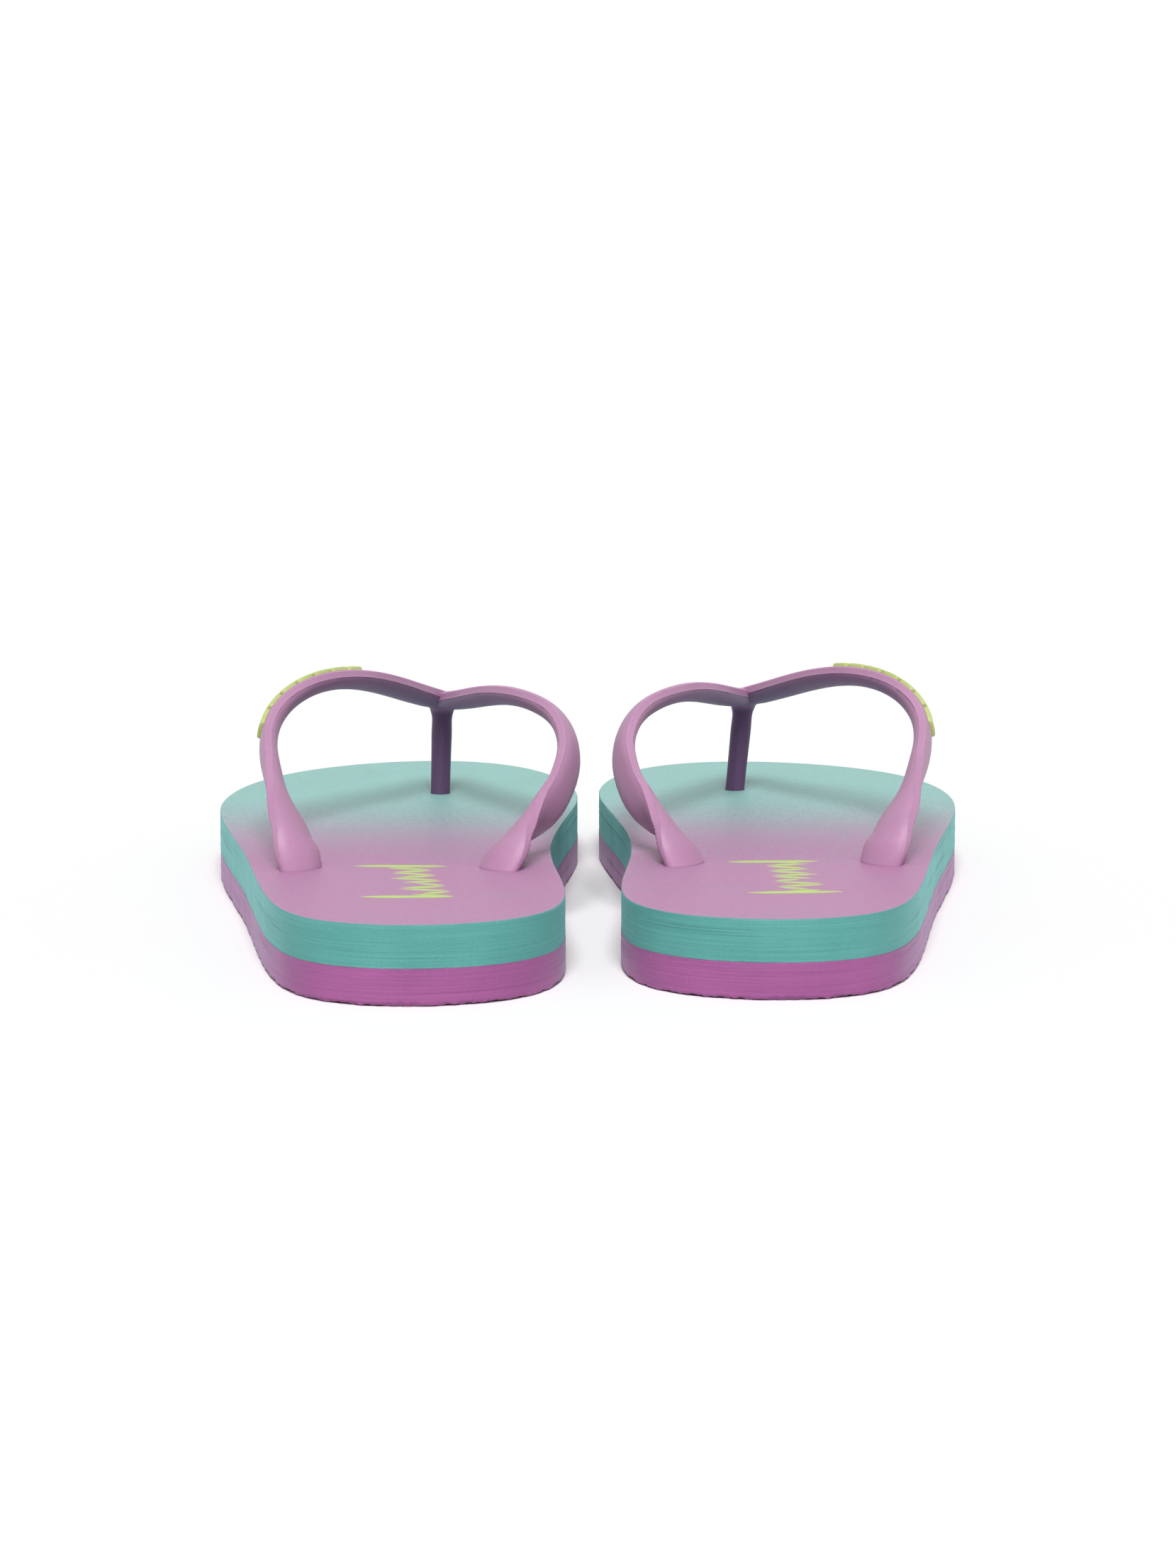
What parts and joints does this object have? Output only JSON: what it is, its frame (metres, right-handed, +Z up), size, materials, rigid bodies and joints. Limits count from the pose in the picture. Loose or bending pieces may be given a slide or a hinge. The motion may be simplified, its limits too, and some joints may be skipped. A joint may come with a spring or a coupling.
{
  "type": "pair of thong sandals",
  "caption": "Pair of flat thong sandals with two-layer foam soles, a moulded toe-post strap on each, and raised tiles on the strap's outer arm.",
  "frame": {"origin": "on the ground, in the middle of the pair's bounding box", "axes": "+Y towards the toes, +X to the wearer's right, +Z up"},
  "size_m": [0.1946, 0.2625, 0.0589],
  "materials": {
    "footbed_foam": "matte",
    "outsole_foam": "matte",
    "strap_pvc": "satin",
    "badge_pvc": "satin"
  },
  "bodies": {
    "left_sandal": {"left_footbed": "footbed_foam", "left_outsole": "outsole_foam", "left_strap": "strap_pvc", "left_badge_tile_1": "badge_pvc", "left_badge_tile_2": "badge_pvc", "left_badge_tile_3": "badge_pvc", "left_badge_tile_4": "badge_pvc", "left_badge_tile_5": "badge_pvc", "left_badge_tile_6": "badge_pvc", "left_badge_tile_7": "badge_pvc"},
    "right_sandal": {"right_footbed": "footbed_foam", "right_outsole": "outsole_foam", "right_strap": "strap_pvc", "right_badge_tile_1": "badge_pvc", "right_badge_tile_2": "badge_pvc", "right_badge_tile_3": "badge_pvc", "right_badge_tile_4": "badge_pvc", "right_badge_tile_5": "badge_pvc", "right_badge_tile_6": "badge_pvc", "right_badge_tile_7": "badge_pvc"}
  },
  "joints": [
    {"name": "right_sandal_slide", "type": "slide", "parent": "left_sandal", "child": "right_sandal", "axis": [1, 0, 0], "range_m": [0, 0.15]}
  ]
}
